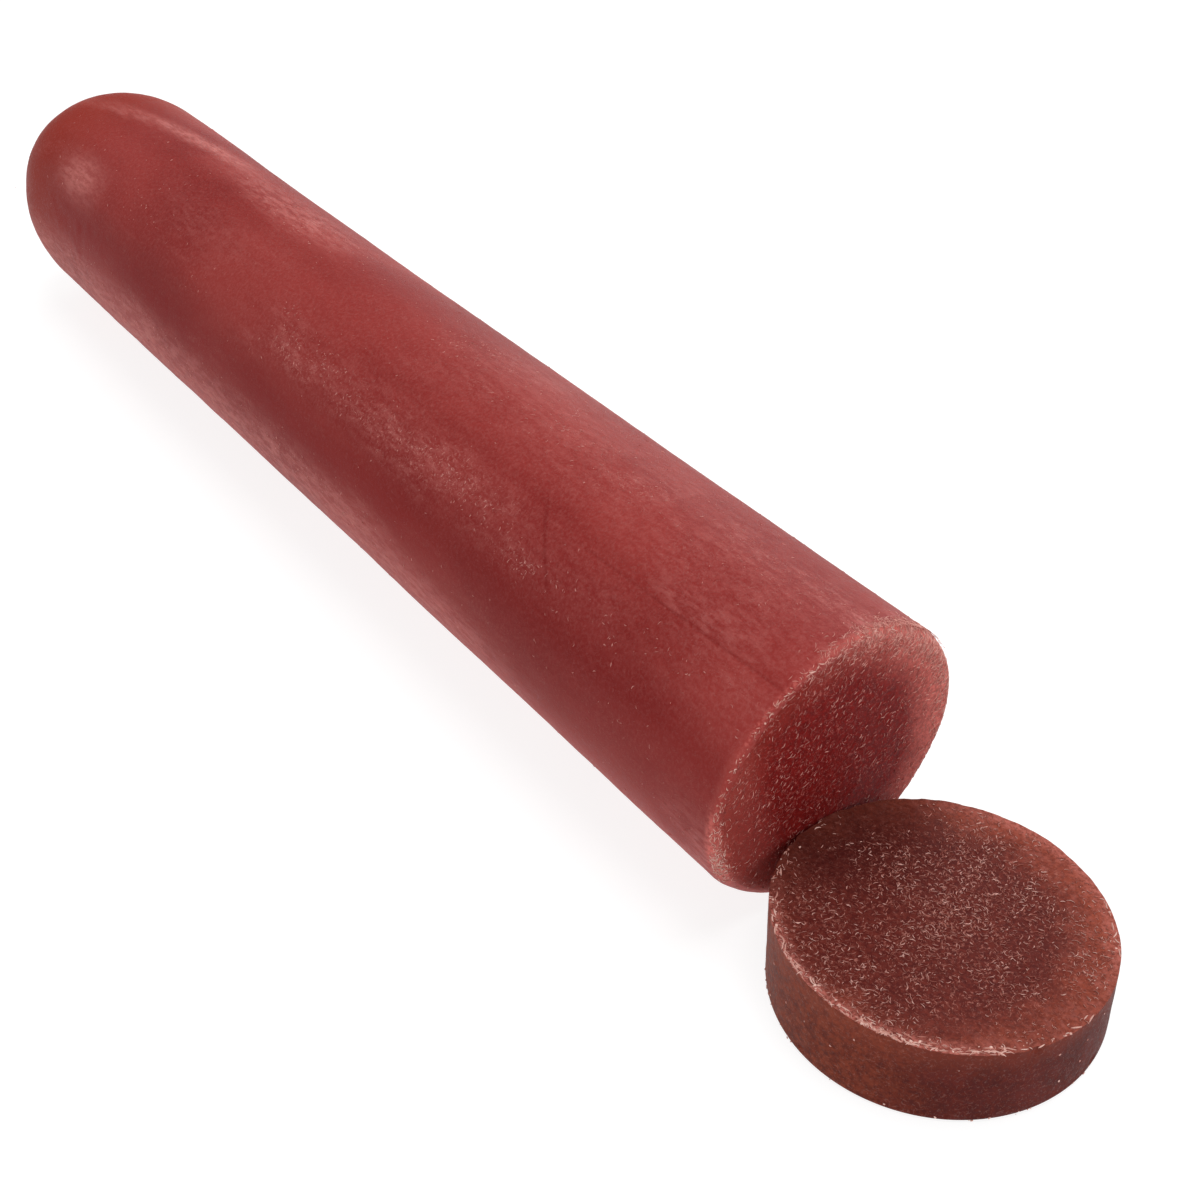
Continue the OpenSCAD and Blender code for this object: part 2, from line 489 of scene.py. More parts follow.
def crumb(place, normal, size, flat, seed):
    """A small broken lump: a knobbly ball, flattened towards the surface."""
    along, across, out = frame_at(normal, seed * 1.7)
    rows, columns = 5, 8
    down = math.pi * np.repeat(np.arange(1, rows), columns) / rows
    turn = 2 * math.pi * np.tile(np.arange(columns), rows - 1) / columns
    ball = xyz(np.sin(down) * np.cos(turn), np.sin(down) * np.sin(turn), np.cos(down))
    ball = ball * (1 + 0.45 * smooth_noise(ball + seed * 7.3, 0.9, seed))[:, None] * size / 2
    points = place + ball @ np.array([along, across * 0.75, out * flat])
    poles = [place + out * flat * size / 2, place - out * flat * size / 2]
    top, bottom = len(points), len(points) + 1
    faces = []
    for c in range(columns):
        d = (c + 1) % columns
        faces.append((top, c, d))
        for r in range(rows - 2):
            here, below = r * columns, (r + 1) * columns
            faces.append((here + c, below + c, below + d, here + d))
        faces.append(((rows - 2) * columns + d, (rows - 2) * columns + c, bottom))
    return list(points) + poles, faces


def gather(name, shapes):
    """Joins many small shapes into one object."""
    points, faces = [], []
    for some_points, some_faces in shapes:
        base = len(points)
        points += [tuple(p) for p in some_points]
        faces += [tuple(i + base for i in f) for f in some_faces]
    return mesh_object(name, points, faces)


def shaving_length(rng):
    """Most shavings are short, and a few are longer."""
    return rng.uniform(0.14, 0.50) * MM * (1.7 if rng.random() < 0.06 else 1)


def either_way(rng, low, high):
    """A bend from low to high, in radians, to one side or the other."""
    return rng.choice([-1, 1]) * rng.uniform(low, high)


def striker_flecks():
    """Pale curled shavings scattered over the striker face, densest in the middle."""
    rng = np.random.default_rng(5)
    tries = 8000
    angle = rng.random(tries) * 2 * math.pi
    radius = (cap_outline(angle) - 0.5 * MM) * np.sqrt(rng.random(tries))
    x, y = radius * np.cos(angle), radius * np.sin(angle)
    patch = layered_noise(xyz(x, y, 0), 3.6 * MM, 91, 2)
    middle = bell(np.hypot(x - 2 * MM, y), 0, 10 * MM)
    kept = rng.random(tries) < (0.30 + 0.7 * patch + 0.42 * middle) * step_up(x, -19 * MM, -2 * MM)
    shapes = []
    for place in on_cap_top(radius, angle)[kept] + [0, 0, 0.01 * MM]:
        length = shaving_length(rng)
        bend = either_way(rng, 0.1, 2.4)
        shapes.append(curl(place, CAP_TOP_NORMAL, rng.random() * 2 * math.pi,
                           length, rng.uniform(0.03, 0.085) * MM, bend, 0.03 * MM))
    return gather("striker_flecks", shapes)


def on_end(radius, angle):
    """Points on the igniter end and the surface's normals there."""
    depth, tilt = end_depth(radius, angle)
    side = np.sqrt(1 - tilt ** 2)
    normals = xyz(tilt, side * np.cos(angle), side * np.sin(angle))
    return on_stick(depth, radius, angle, tilt), normals


def igniter_flecks():
    """Pale shavings on the igniter face, most of them combed one way."""
    rng = np.random.default_rng(8)
    tries = 3600
    radius = (STICK_R - 0.5 * MM) * np.sqrt(rng.random(tries))
    angle = rng.random(tries) * 2 * math.pi
    places, normals = on_end(radius, angle)
    kept = rng.random(tries) < 0.42 + 0.55 * layered_noise(places, 2.6 * MM, 98, 2)
    kept &= rng.random(tries) < 0.45 + 0.55 * step_up(radius * np.sin(angle - 0.5), -9 * MM, 1 * MM)
    shapes = []
    for place, normal in zip(places[kept], normals[kept]):
        heading = math.radians(rng.normal(50, 38))
        length = shaving_length(rng)
        bend = either_way(rng, 0.1, 1.8)
        shapes.append(curl(place + normal * 0.005 * MM, normal, heading,
                           length, rng.uniform(0.028, 0.07) * MM, bend, 0.03 * MM))
    return gather("igniter_flecks", shapes)


# Zones of the skin: middle angle and spread round the stick in degrees, then from
# and to, measured behind the igniter face in millimetres, and strength.  Pale
# specks gather in the first; the skin is paler in the second, partly pale wax and
# partly painted highlight and sheen; darker in the third, which is painted shade;
# and a purer red in the last, painted shade along the same low band.
DRIFTS = [(136, 16, 24, 78, 1), (84, 26, -10, 60, 0.7), (76, 15, 82, 101, 0.9),
          (130, 16, 90, 112, 0.3), (182, 14, 50, 140, 0.6)]
PALE_AND_SHEEN_ZONES = [(84, 32, -20, 56, 0.10), (76, 16, 82, 101, 0.40), (115, 8, 2, 13, 0.22),
              (131, 17, -8, 82, 0.06), (118, 14, 92, 112, 0.10), (197, 24, -3, 4, 0.38),
              (192, 18, 30, 140, 0.36), (72, 34, -3, 2.2, 0.42)]
SHADE_ZONES = [(158, 16, -20, 139, 0.26), (180, 26, -20, 36, 0.24),
              (95, 11, 74, 139, 0.22), (119, 4, -8, 58, 0.13),
              (140, 18, 3, 14, 0.25)]
RED_ZONES = [(165, 14, 36, 139, 0.45), (158, 10, -8, 40, 0.15)]


def zone_softness(start, end):
    """How gradually a zone fades at its two ends, in millimetres."""
    return min(8, (end - start) / 3)


def drift_share(behind, angle):
    """How thick the specks lie at places on the stick, 0 to 1."""
    share = 0
    for middle, spread, start, end, strength in DRIFTS:
        soft = zone_softness(start, end)
        along = step_up(behind / MM, start - soft, start + soft)
        along = along * step_up(-behind / MM, -end - soft, soft - end)
        share = share + strength * along * bell(np.degrees(angle), middle, spread)
    return np.minimum(share, 1)


# Bright clusters among the specks: millimetres behind the face, degrees round, how far
# they spread in each, and how many.
CLUSTERS = [(28.5, 143, 1.3, 2.5, 46), (37, 137, 3.0, 3.5, 50), (46, 134, 3.5, 4, 30),
            (60, 137, 1.5, 5, 22), (65, 131, 1.6, 2.5, 40), (72, 134, 1.8, 4, 36),
            (75, 122, 1.5, 3, 16), (10, 138, 5, 5, 24), (90, 77, 6, 6, 90),
            (114, 73, 5, 3, 30), (54, 78, 2, 4, 22), (38, 82, 2, 5, 18), (30, 92, 8, 6, 40),
            (20, 168, 9, 5, 20), (110, 130, 3, 5, 16), (40, 84, 18, 9, 150),
            (62, 181, 13, 6, 110), (104, 184, 14, 7, 110)]

# A streak of painted highlight lies on the far shoulder at STREAK_ANGLE, in degrees, and
# from STREAK_BEND_FROM it turns by STREAK_BEND over STREAK_BEND_LEN, towards the tip.
STREAK_ANGLE, STREAK_BEND, STREAK_SPREAD = 70.0, 25.0, 10.5
STREAK_BEND_FROM, STREAK_BEND_LEN = 106.0, 30.0
# An oval patch of painted highlight lies on the near shoulder: millimetres behind the face
# and spread, then degrees round and spread.
OVAL_BEHIND, OVAL_LONG, OVAL_ANGLE, OVAL_WIDE = 125.5, 9.0, 137.0, 19.0
# A faint scratch crosses the groove between these distances, and leans back round the
# stick by SCRATCH_SLANT degrees a millimetre from where it would start at the face.
SCRATCH_FROM, SCRATCH_TO = 23.5, 31.0
SCRATCH_START, SCRATCH_SLANT = 249.5, 4.3
# The igniter end's edge is palest at these angles, in degrees; on the far side this is partly
# painted light.
FAR_EDGE, NEAR_EDGE = 20, 197


def skin_flecks():
    """Tiny raised specks on the stick's skin, in drifts along it and in clusters."""
    rng = np.random.default_rng(12)
    tries = 6500
    behind = rng.uniform(2 * MM, STICK_LEN - DOME_DEPTH, tries)
    angle = rng.uniform(math.radians(20), math.radians(215), tries)
    places = on_stick(behind, STICK_R, angle, 0)
    patch = layered_noise(places * (0.5, 1, 1), 5 * MM, 101, 2)
    clump = step_up(layered_noise(places * (0.5, 1, 1), 2 * MM, 107, 2), -0.2, 0.4)
    kept = rng.random(tries) < 0.02 + 0.34 * patch + 0.9 * clump * drift_share(behind, angle)
    behind, angle = behind[kept], angle[kept]
    for middle, turn, spread, turn_spread, count in CLUSTERS:
        behind = np.append(behind, np.maximum(rng.normal(middle, spread, count), 1) * MM)
        angle = np.append(angle, np.radians(rng.normal(turn, turn_spread, count)))
    normals = xyz(0, np.cos(angle), np.sin(angle))
    shapes = []
    for place, normal in zip(on_stick(behind, STICK_R, angle, 0), normals):
        length = rng.uniform(0.14, 0.42) * MM
        bend = either_way(rng, 0.3, 2.6)
        shapes.append(curl(place + normal * 0.002 * MM, normal, rng.random() * 2 * math.pi,
                           length, rng.uniform(0.04, 0.085) * MM, bend, 0.008 * MM))
    return gather("skin_flecks", shapes)


def rim_fibres():
    """Short pale fibres matted over the igniter end's far upper edge, and a few
    on the skin just behind it."""
    rng = np.random.default_rng(61)
    count = 1900
    angle = np.radians(rng.normal(42, 34, count))
    radius = STICK_R - (0.03 + abs(rng.normal(0, 1.2, count))) * MM
    places, normals = on_end(radius, angle)
    few = 420
    around = np.radians(rng.normal(68, 17, few))
    behind = (0.3 + abs(rng.normal(0, 0.8, few))) * MM
    places = np.vstack([places, on_stick(behind, STICK_R, around, 0)])
    normals = np.vstack([normals, xyz(0, np.cos(around), np.sin(around))])
    shapes = []
    for place, normal in zip(places, normals):
        heading = rng.normal(0.6, 0.8)
        bend = either_way(rng, 0.1, 1.4)
        length = rng.uniform(0.2, 0.65) * MM
        shapes.append(curl(place + normal * 0.002 * MM, normal, heading, length,
                           rng.uniform(0.03, 0.07) * MM, bend, 0.015 * MM))
    return gather("rim_fibres", shapes)


def broken_wax(rng, place, normal, heading, size, seed):
    """One crumb of broken wax: a burr lying along the edge, a curl, or a lump."""
    kind = rng.random()
    if kind < 0.45:
        return curl(place, normal, heading + rng.normal(0, 0.35), size * 2.6,
                    size * rng.uniform(0.3, 0.5), rng.normal(0, 0.7), 0.02 * MM)
    if kind < 0.75:
        return curl(place, normal, rng.random() * 2 * math.pi, size * 1.6,
                    rng.uniform(0.05, 0.09) * MM, rng.normal(0, 1.5), 0.05 * MM)
    return crumb(place, normal, size * 0.9, 0.45, seed)


def along_edge(normal, direction):
    """The heading, in frame_at's terms, that points in a direction."""
    first, second = frame_at(normal, 0)[:2]
    return math.atan2(np.dot(direction, second), np.dot(direction, first))


def crumbs_along(name, rng, places, normals, tangents, low, high, first_seed):
    """Broken wax along an edge, each crumb from low to high, in millimetres."""
    shapes = []
    for place, normal, tangent in zip(places, normals, tangents):
        shapes.append(broken_wax(rng, place, normal, along_edge(normal, tangent),
                                 rng.uniform(low, high) * MM, len(shapes) + first_seed))
    return gather(name, shapes)


def clump_angles(rng, clumps):
    """Angles gathered in clumps, each given as its middle, its spread and a count."""
    return np.radians(np.concatenate([rng.normal(middle, spread, count)
                                      for middle, spread, count in clumps]))


def edge_crumbs():
    """Broken wax along the cap's upper edge, in clumps on the near side."""
    rng = np.random.default_rng(21)
    angle = clump_angles(rng, [
        (-64, 7, 80), (-30, 4, 26), (-6, 3, 5), (-90, 14, 60), (-115, 14, 40),
        (-45, 18, 60), (-145, 14, 20), (12, 8, 4), (45, 30, 14), (-15, 12, 8),
    ])
    radius = cap_outline(angle) - (0.05 + abs(rng.normal(0, 0.32, len(angle)))) * MM
    normals = np.tile(CAP_TOP_NORMAL, (len(angle), 1))
    tangents = xyz(-np.sin(angle), np.cos(angle), 0)
    return crumbs_along("cap_edge_crumbs", rng, on_cap_top(radius, angle), normals, tangents,
                        0.12, 0.34, 3)


def low_crumbs():
    """A few small crumbs on the cap's side, most of them along its lower edge."""
    rng = np.random.default_rng(44)
    count = 46
    angle = np.radians(rng.uniform(-150, 20, count))
    low = rng.uniform(0.12, 0.5, count)
    high = rng.uniform(0.3, 6, count)
    z = np.where(rng.random(count) < 0.7, low, high) * MM
    radius = cap_outline(angle)
    places = round_cap(radius + cap_side_relief(round_cap(radius, z, angle)), z, angle)
    normals = xyz(np.cos(angle), np.sin(angle), 0)
    shapes = []
    for place, normal in zip(places, normals):
        size = rng.uniform(0.10, 0.30) * MM
        shapes.append(crumb(place, normal, size, 0.35, len(shapes) + 9))
    return gather("cap_low_crumbs", shapes)


def rim_crumbs():
    """Broken wax on the rim of the igniter end, thickest low on the near side."""
    rng = np.random.default_rng(33)
    angle = clump_angles(rng, [
        (198, 8, 130), (180, 14, 50), (145, 22, 36), (100, 20, 26), (62, 16, 26), (30, 20, 20),
    ])
    spread = np.where(angle > math.radians(175), 0.7, 0.3)
    inward = (0.1 + abs(rng.normal(0, 1, len(angle))) * spread) * MM
    places, normals = on_end(STICK_R - inward, angle)
    tangents = xyz(0, -np.sin(angle), np.cos(angle))
    return crumbs_along("rim_crumbs", rng, places, normals, tangents, 0.09, 0.24, 5)


# ---- materials
def colour(red, green, blue):
    """A colour given as on a screen, 0 to 255, in the scene's linear values."""
    def linear(value):
        value /= 255
        return value / 12.92 if value <= 0.04045 else ((value + 0.055) / 1.055) ** 2.4
    return (linear(red), linear(green), linear(blue), 1)


class Shader:
    """One material's nodes, built by short calls."""

    def __init__(self, name):
        self.material = bpy.data.materials.new(name)
        self.material.use_nodes = True
        self.tree = self.material.node_tree
        self.surface = self.tree.nodes["Principled BSDF"]

    def add(self, kind, settings=None, **inputs):
        node = self.tree.nodes.new("ShaderNode" + kind)
        for key, value in (settings or {}).items():
            setattr(node, key, value)
        for key, value in inputs.items():
            self.plug(node.inputs[int(key[2:]) if key.startswith("in") else key], value)
        return node

    def plug(self, socket, value):
        if isinstance(value, bpy.types.NodeSocket):
            self.tree.links.new(value, socket)
        else:
            socket.default_value = value

    def set(self, **inputs):
        for key, value in inputs.items():
            self.plug(self.surface.inputs[key.replace("_", " ")], value)

    def place(self, scale=(1, 1, 1)):
        """Where the point is in the frame, in millimetres, stretched by scale."""
        coordinates = self.add("TexCoord")
        node = self.add("Mapping", Vector=coordinates.outputs["Object"],
                        Scale=tuple(share / MM for share in scale))
        return node.outputs["Vector"]

    def from_axis(self, place):
        """A place's X, its Y and its height above the stick's axis."""
        split = self.add("SeparateXYZ", in0=place)
        return split.outputs[0], split.outputs[1], self.minus(split.outputs[2], AXIS_Z / MM)

    def noise(self, place, scale, detail=3, rough=0.55, distort=0.0):
        node = self.add("TexNoise", Vector=place, Scale=scale, Detail=detail,
                        Roughness=rough, Distortion=distort)
        return node.outputs[0]

    def math(self, operation, a, b=0.0):
        return self.add("Math", {"operation": operation}, in0=a, in1=b).outputs[0]

    def plus(self, a, b):
        return self.math("ADD", a, b)

    def minus(self, a, b):
        return self.math("SUBTRACT", a, b)

    def times(self, a, b):
        return self.math("MULTIPLY", a, b)

    def larger(self, a, b):
        return self.math("MAXIMUM", a, b)

    def swing(self, value, size):
        """A noise value, about 0.5 at its middle, as a distance either side of 0."""
        return self.times(self.minus(value, 0.5), size)

    def distance(self, a, b):
        return self.math("SQRT", self.plus(self.times(a, a), self.times(b, b)))

    def towards(self, a, b, degrees):
        """How far (a, b) reaches in a direction, at an angle from a towards b."""
        turn = math.radians(degrees)
        return self.plus(self.times(a, math.cos(turn)), self.times(b, math.sin(turn)))

    def ramp(self, value, low, high, start=0.0, end=1.0):
        """start below low, end above high, smooth between."""
        node = self.add("MapRange", {"interpolation_type": "SMOOTHSTEP"})
        for index, item in enumerate((value, low, high, start, end)):
            self.plug(node.inputs[index], item)
        return node.outputs[0]

    def mix(self, share, a, b):
        node = self.add("Mix", {"data_type": "RGBA"})
        self.plug(node.inputs[0], share)
        self.plug(node.inputs[6], a)
        self.plug(node.inputs[7], b)
        return node.outputs[2]

    def bump(self, height, distance, strength=1.0, under=None):
        node = self.add("Bump", Height=height, Distance=distance, Strength=strength)
        if under is not None:
            self.plug(node.inputs["Normal"], under)
        return node.outputs[0]


SKIN_DEEP = colour(137, 40, 38)
SKIN_MID = colour(156, 56, 52)
# Pale bloom on the wax, and also painted highlight and sheen:
SKIN_BLOOM_AND_SHEEN = colour(200, 116, 110)
# Painted shade, and the scratch's colour:
SKIN_DARK = colour(108, 2, 1)
# Painted shade, a purer red:
SKIN_RED = colour(136, 2, 1)
SKIN_TIP = colour(158, 52, 34)
SKIN_MARK = colour(214, 142, 132)
FACE_DEEP = colour(104, 8, 9)
FACE_MID = colour(140, 30, 27)
FACE_EDGE = colour(152, 56, 46)
FACE_MARK = colour(186, 106, 98)
# Pale fray, and also painted light through the cap's edge:
RIM_PINK = colour(206, 124, 114)
# Pale edge of the igniter end, partly painted light:
END_PINK = colour(226, 122, 112)
CAP_DEEP = colour(82, 24, 20)
CAP_MID = colour(112, 46, 38)
# Paler, more orange wax, and also painted light on the cap:
CAP_RIM = colour(160, 76, 56)
# Painted shadow on the cap's top, and dark grain on its side:
CAP_SHADOW_AND_GRAIN = colour(46, 8, 6)
CAP_MARK = colour(176, 112, 100)
SIDE_DEEP = colour(94, 28, 12)
SIDE_MID = colour(128, 54, 32)
SIDE_MAROON = colour(74, 16, 12)
SIDE_RED = colour(92, 28, 23)
SIDE_MARK = colour(244, 194, 182)


def strokes(s, place, scale, shift):
    """Short curved strokes: contour lines of a noise, cut into pieces by another."""
    thin, cover = 0.03, 0.5
    moved = s.add("VectorMath", {"operation": "ADD"}, in0=place, in1=shift).outputs[0]
    line = s.math("ABSOLUTE", s.minus(s.noise(moved, scale, 1, 0.4, 0.6), 0.5))
    pieces = s.ramp(s.noise(place, scale * 1.3, 1, 0.4), cover, cover + 0.08)
    return s.times(s.ramp(line, thin, thin * 0.3), pieces)


def node_bell(s, value, middle, width):
    """1 at the middle, falling smoothly to nothing at one width away."""
    return s.ramp(s.math("ABSOLUTE", s.minus(value, middle)), width, 0)


def node_zones(s, around, behind, zones):
    """How far a place lies in any of the given zones, each times its strength."""
    total = 0.0
    for middle, spread, start, end, strength in zones:
        soft = zone_softness(start, end)
        along = s.times(s.ramp(behind, start - soft, start + soft),
                        s.ramp(behind, end + soft, end - soft))
        inside = s.times(along, node_bell(s, around, middle, spread * 1.4))
        total = s.larger(s.times(inside, strength), total)
    return total


def shoulder_highlight(s, around, behind, stretched):
    """Painted highlights: the streak that curves from the tip down the far shoulder, and the oval
    patch.
    """
    past = s.larger(s.times(s.minus(behind, STREAK_BEND_FROM), 1 / STREAK_BEND_LEN), 0)
    middle = s.plus(s.times(s.times(past, past), STREAK_BEND), STREAK_ANGLE)
    off = s.plus(s.minus(around, middle), s.swing(s.noise(stretched, 0.5, 4, 0.65), 12.0))
    streak = s.times(node_bell(s, off, 0, STREAK_SPREAD), s.ramp(behind, 98, 116))
    streak = s.times(streak, s.ramp(behind, 140, 118, 0.2, 1))
    oval = s.times(node_bell(s, behind, OVAL_BEHIND, OVAL_LONG),
                   node_bell(s, around, OVAL_ANGLE, OVAL_WIDE))
    return s.larger(streak, oval)


def groove_shade(s, around, behind):
    """How much darker the groove along the top is, and the scratch that crosses it."""
    middle = s.plus(math.degrees(CREASE_ANGLE - CREASE_TURN),
                    s.times(behind, math.degrees(CREASE_TURN) / (CREASE_LEN / MM)))
    groove = s.times(node_bell(s, s.minus(around, middle), 0, 1.1),
                     s.ramp(behind, 30, 20, 0, 0.22))
    slanted = s.plus(s.times(behind, SCRATCH_SLANT), around)
    scratch = s.times(node_bell(s, slanted, SCRATCH_START, 2.4),
                      s.ramp(behind, SCRATCH_FROM, SCRATCH_FROM + 1.5, 0, 0.3))
    return s.larger(groove, s.times(scratch, s.ramp(behind, SCRATCH_TO, SCRATCH_TO - 2)))


def skin_material():
    """Dipped red wax: cloudy, bloomed in drifts, satin, a little translucent; painted light and
    shade.
    """
    s = Shader("wax_skin")
    stretched = s.place((0.35, 1, 1))
    plain = s.place()
    spot = s.from_axis(plain)
    behind = s.minus(FACE_X / MM, spot[0])
    around = s.math("DEGREES", s.math("ARCTAN2", spot[2], spot[1]))
    around = s.math("FLOORED_MODULO", s.plus(around, 360.0), 360.0)
    fine = s.noise(plain, 3.0, 4, 0.7)
    lump = s.noise(stretched, 0.3, 4, 0.6, 0.4)
    fibre = s.noise(s.place((0.3, 1, 1)), 1.7, 4, 0.72)
    marks = s.larger(strokes(s, plain, 2.0, (31, 7, 3)), strokes(s, plain, 3.1, (4, 19, 8)))
    # The zones' borders wander a little.
    wander = s.swing(s.noise(stretched, 0.12, 3, 0.5), 26.0)
    around_soft = s.plus(around, wander)
    behind_soft = s.plus(behind, wander)

    cloud = s.ramp(s.noise(stretched, 0.085, 3, 0.5, 0.3), 0.36, 0.66)
    base = s.mix(cloud, SKIN_DEEP, SKIN_MID)
    base = s.mix(s.ramp(fine, 0.4, 0.7, 0, 0.20), base, SKIN_BLOOM_AND_SHEEN)
    # Painted shade: darker, and a purer red, along the shade zones.
    dark = node_zones(s, around, behind_soft, SHADE_ZONES)
    base = s.mix(s.times(dark, s.ramp(lump, 0.3, 0.7, 1.15, 0.85)), base, SKIN_DARK)
    base = s.mix(node_zones(s, around, behind_soft, RED_ZONES), base, SKIN_RED)
    # The tip of the rounded end is more orange.
    base = s.mix(s.ramp(behind, 122, 143, 0, 0.65), base, SKIN_TIP)
    # Paler zones: partly pale wax, partly painted highlight and sheen.
    pale = node_zones(s, around_soft, behind_soft, PALE_AND_SHEEN_ZONES)
    base = s.mix(s.times(pale, s.ramp(fibre, 0.38, 0.62, 0.15, 1.45)), base, SKIN_BLOOM_AND_SHEEN)

    drift = node_zones(s, around_soft, behind_soft, DRIFTS)
    drift = s.times(drift, s.ramp(lump, 0.38, 0.62, 0.15, 1))
    stray = s.ramp(s.noise(stretched, 0.16, 4, 0.62, 0.6), 0.52, 0.74, 0, 0.4)
    drift = s.larger(drift, stray)
    # Painted highlight: the streak and the oval patch on the shoulders, in the pale colour.
    highlight = shoulder_highlight(s, around, behind, stretched)
    highlight = s.times(highlight, s.ramp(fibre, 0.34, 0.66, 0.4, 1.15))
    base = s.mix(s.times(drift, s.ramp(fibre, 0.43, 0.66, 0.05, 0.38)), base, SKIN_BLOOM_AND_SHEEN)
    base = s.mix(s.times(highlight, 0.9), base, SKIN_BLOOM_AND_SHEEN)
    base = s.mix(s.times(marks, s.ramp(drift, 0, 1, 0.08, 0.47)), base, SKIN_MARK)
    base = s.mix(groove_shade(s, around, behind), base, SKIN_DARK)
    base = s.mix(igniter_edge(s, spot, lump, fine), base, END_PINK)
    s.set(Base_Color=base, Roughness=s.ramp(fine, 0.3, 0.7, 0.40, 0.60))
    s.set(Subsurface_Weight=0.15, Subsurface_Radius=(1.0, 0.22, 0.18), Subsurface_Scale=0.001)
    s.set(Specular_IOR_Level=0.08, IOR=1.44)
    ripple = s.bump(s.noise(plain, 0.9, 4, 0.6), 0.04 * MM, 0.5)
    height = s.plus(s.plus(fine, fibre), s.times(marks, 0.4))
    s.set(Normal=s.bump(height, 0.05 * MM, 0.7, ripple))
    return s.material


def igniter_edge(s, spot, lump, fine):
    """How pale the igniter end's edge is: widely on the far side, partly painted light there,
    in a patch low on the near side, and thinly elsewhere.  spot is what from_axis gives."""
    x, y, up = spot
    radius = s.distance(y, up)
    far = s.plus(s.times(radius, 0.6), s.times(s.towards(y, up, FAR_EDGE), 0.4))
    far = s.plus(far, s.swing(lump, 3.0))
    wide = s.times(s.ramp(far, 6.4, 12.6), s.ramp(fine, 0.35, 0.65, 0.5, 1.15))
    near = s.towards(y, up, NEAR_EDGE)
    patch = s.times(s.ramp(near, 10.0, 12.3), s.ramp(fine, 0.35, 0.65, 0.2, 0.8))
    wide = s.larger(wide, s.larger(patch, s.ramp(near, 5.3, 8.8, 0, 0.15)))
    thin = s.times(s.ramp(radius, 11.9, 12.6), s.ramp(fine, 0.45, 0.62, 0, 0.36))
    # Only close behind the leaning face is it pale.
    face = s.plus(s.minus(s.times(up, FACE_PITCH), s.times(y, FACE_YAW)), FACE_X / MM)
    behind = s.minus(face, x)
    wide = s.times(wide, s.ramp(behind, 1.1, 0.3))
    thin = s.times(thin, s.ramp(behind, 0.45, 0.1))
    return s.larger(wide, thin)


def end_material():
    """Broken granular wax, as on the igniter face."""
    s = Shader("igniter_grain")
    plain = s.place()
    spot = s.from_axis(plain)
    fine = s.noise(plain, 3.0, 4, 0.7)
    lump = s.noise(plain, 0.3, 4, 0.6, 0.4)
    marks = s.larger(strokes(s, plain, 1.9, (11, 23, 5)), strokes(s, plain, 2.8, (3, 9, 21)))
    base = s.mix(s.ramp(fine, 0.36, 0.68), FACE_DEEP, FACE_MID)
    edge = s.plus(s.distance(spot[1], spot[2]), s.times(lump, 4.0))
    base = s.mix(s.ramp(edge, 9.5, 14.0, 0, 0.45), base, FACE_EDGE)
    base = s.mix(s.times(marks, s.ramp(lump, 0.40, 0.62, 0.4, 0.85)), base, FACE_MARK)
    base = s.mix(igniter_edge(s, spot, lump, fine), base, END_PINK)
    s.set(Base_Color=base, Roughness=s.ramp(fine, 0.3, 0.7, 0.5, 0.75), Specular_IOR_Level=0.10)
    s.set(Normal=s.bump(s.plus(fine, s.times(marks, 0.4)), 0.08 * MM, 0.8))
    return s.material


def cap_top_colour(s, x, y, fine, lump, grain, marks):
    """Dark brown-red: painted light more orange towards the edge, painted shadow by the stick."""
    reach = s.distance(x, y)
    # Painted light: more orange through the edge, most on the side away from the stick.
    painted_glow = s.plus(s.times(reach, 0.83), s.times(s.towards(x, y, 60), 0.13))
    painted_glow = s.ramp(s.plus(painted_glow, s.swing(lump, 4.0)), 6.8, 13.0)
    top = s.mix(s.ramp(fine, 0.36, 0.70), CAP_DEEP, CAP_MID)
    top = s.mix(s.times(marks, s.ramp(lump, 0.4, 0.62, 0.35, 0.85)), top, CAP_MARK)
    top = s.mix(s.times(painted_glow, s.ramp(fine, 0.36, 0.64, 0.5, 0.95)), top, CAP_RIM)
    top = s.mix(s.times(painted_glow, s.ramp(grain, 0.44, 0.68, 0, 0.34)), top, RIM_PINK)
    # Its sharp upper edge is frayed pale, most on the near side, and not by the stick.
    fray = s.times(s.ramp(reach, 11.6, 13.0), s.ramp(fine, 0.40, 0.62, 0.1, 0.75))
    fray = s.times(fray, s.ramp(s.towards(x, y, 66), 3.65, -5.47, 0.7, 1))
    fray = s.times(fray, s.ramp(x, -11.5, -5.0))
    fray = s.times(fray, s.ramp(x, 12.6, 9.5, 0.2, 1))
    top = s.mix(fray, top, RIM_PINK)
    # Painted shadow darkens it towards where the stick's end leans over it; a little darker towards
    # +X.
    apart = s.distance(s.plus(x, 16.0), y)
    top = s.mix(s.ramp(apart, 16.0, 6.0, 0, 0.5), top, CAP_SHADOW_AND_GRAIN)
    return s.mix(s.ramp(x, 9.0, 12.5, 0, 0.17), top, CAP_SHADOW_AND_GRAIN)


def cap_side_colour(s, x, y, z, fine, lump, grain, marks):
    """A granular orange brown towards -Y and -X, and a smoother maroon in painted shade towards +X.
    """
    brown = s.mix(s.ramp(grain, 0.36, 0.66), SIDE_DEEP, SIDE_MID)
    brown = s.mix(s.ramp(fine, 0.42, 0.64, 0, 0.24), brown, CAP_RIM)
    brown = s.mix(s.ramp(fine, 0.46, 0.32, 0, 0.30), brown, CAP_SHADOW_AND_GRAIN)
    # Painted shade: a darker maroon on the side towards +X.
    maroon = s.mix(s.ramp(lump, 0.35, 0.7), SIDE_MAROON, SIDE_RED)
    turned = s.plus(s.towards(x, y, 55), s.swing(lump, 4.0))
    side = s.mix(s.ramp(turned, -9.0, -1.0), brown, maroon)
    side = s.mix(s.ramp(fine, 0.42, 0.64, 0, 0.12), side, CAP_RIM)
    # Painted light: paler towards the top of the side.
    side = s.mix(s.ramp(z, 4.2, 7.4, 0, 0.28), side, CAP_RIM)
    return s.mix(s.times(marks, 0.07), side, SIDE_MARK)


